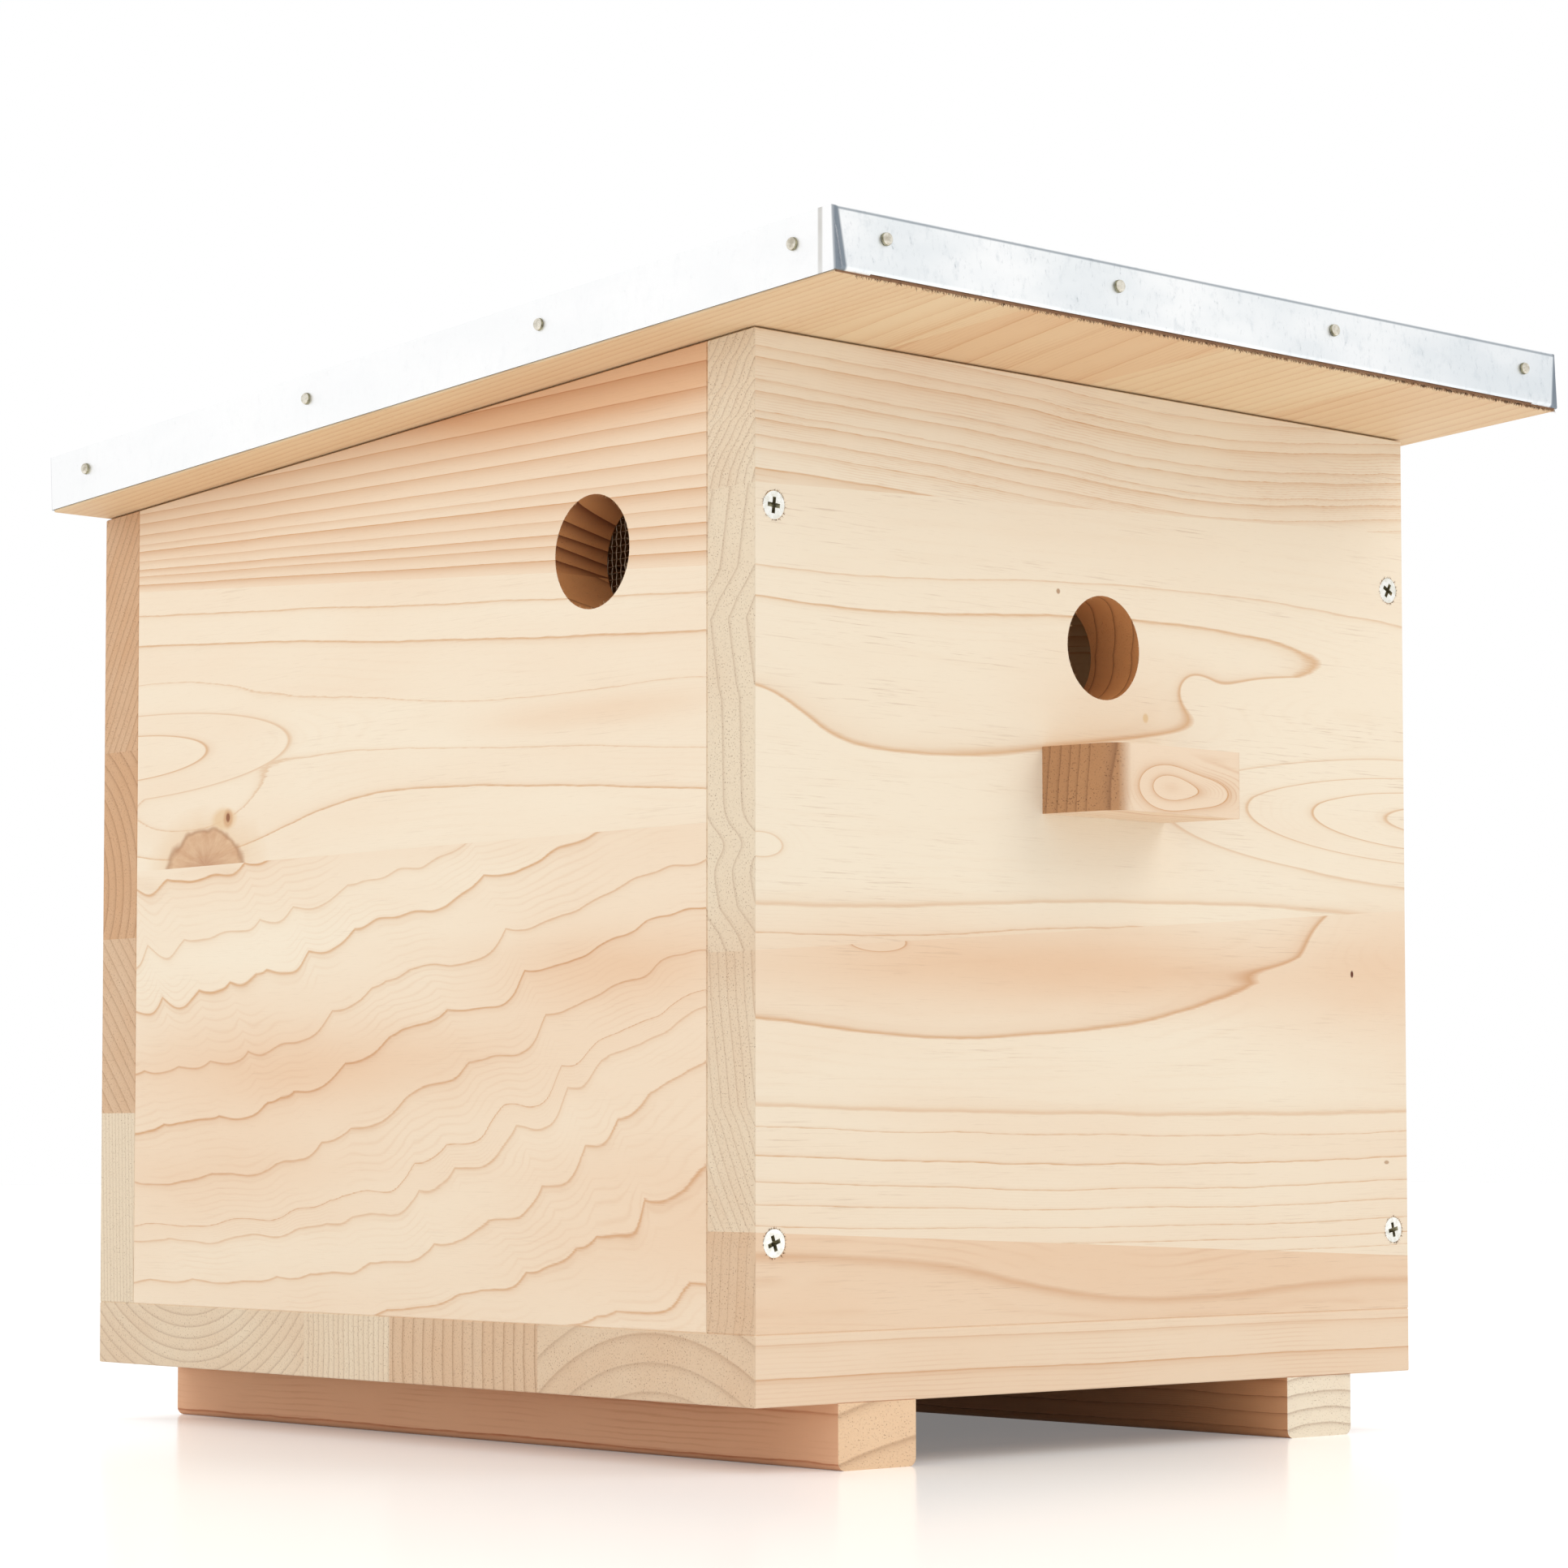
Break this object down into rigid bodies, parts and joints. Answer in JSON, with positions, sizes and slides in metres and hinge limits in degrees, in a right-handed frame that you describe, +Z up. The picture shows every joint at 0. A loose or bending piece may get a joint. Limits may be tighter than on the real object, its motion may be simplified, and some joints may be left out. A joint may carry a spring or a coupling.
{
  "type": "bumblebee nest box",
  "caption": "Free-standing wooden nest box with a round entrance over a landing block, meshed side vents and a sheet-covered roof hinged at the back.",
  "frame": {"origin": "bottom centre of the overall box of the whole object, on the ground under the runners", "axes": "+Z up; the front panel with the entrance faces -Y; +X is to the right seen from the front, where the roof hangs over less"},
  "size_m": [0.3016, 0.371, 0.3249],
  "materials": {
    "spruce": "sanded, untreated",
    "batten": "planed, untreated",
    "roof_wood": "planed, untreated",
    "galvanised": "galvanised sheet, satin",
    "zinc": "zinc plated",
    "nail_steel": "bright steel",
    "mesh_wire": "plain wire",
    "staple_wire": "galvanised wire",
    "hinge_steel": "zinc plated"
  },
  "bodies": {
    "root": {"floor_board": "spruce", "front_panel": "spruce", "back_panel": "spruce", "left_side_panel": "spruce", "right_side_panel": "spruce", "left_runner": "batten", "right_runner": "batten", "landing_block": "spruce", "front_panel_screws": "zinc", "back_panel_screws": "zinc", "floor_board_screws": "zinc", "runner_screws": "zinc", "landing_block_screws": "zinc", "left_vent_mesh": "mesh_wire", "right_vent_mesh": "mesh_wire", "left_vent_staples": "staple_wire", "right_vent_staples": "staple_wire", "left_hinge_lower_leaf": "hinge_steel", "right_hinge_lower_leaf": "hinge_steel", "left_hinge_pin": "hinge_steel", "right_hinge_pin": "hinge_steel", "hinge_lower_screws": "zinc"},
    "roof": {"roof_board": "roof_wood", "roof_sheet": "galvanised", "roof_nails": "nail_steel", "left_hinge_upper_leaf": "hinge_steel", "right_hinge_upper_leaf": "hinge_steel", "hinge_upper_screws": "zinc"}
  },
  "joints": [
    {"name": "roof_hinge", "type": "hinge", "parent": "root", "child": "roof", "pos_m": [0.0065, 0.1825, 0.28691], "axis": [-1, 0, 0], "range_deg": [0, 190]}
  ]
}
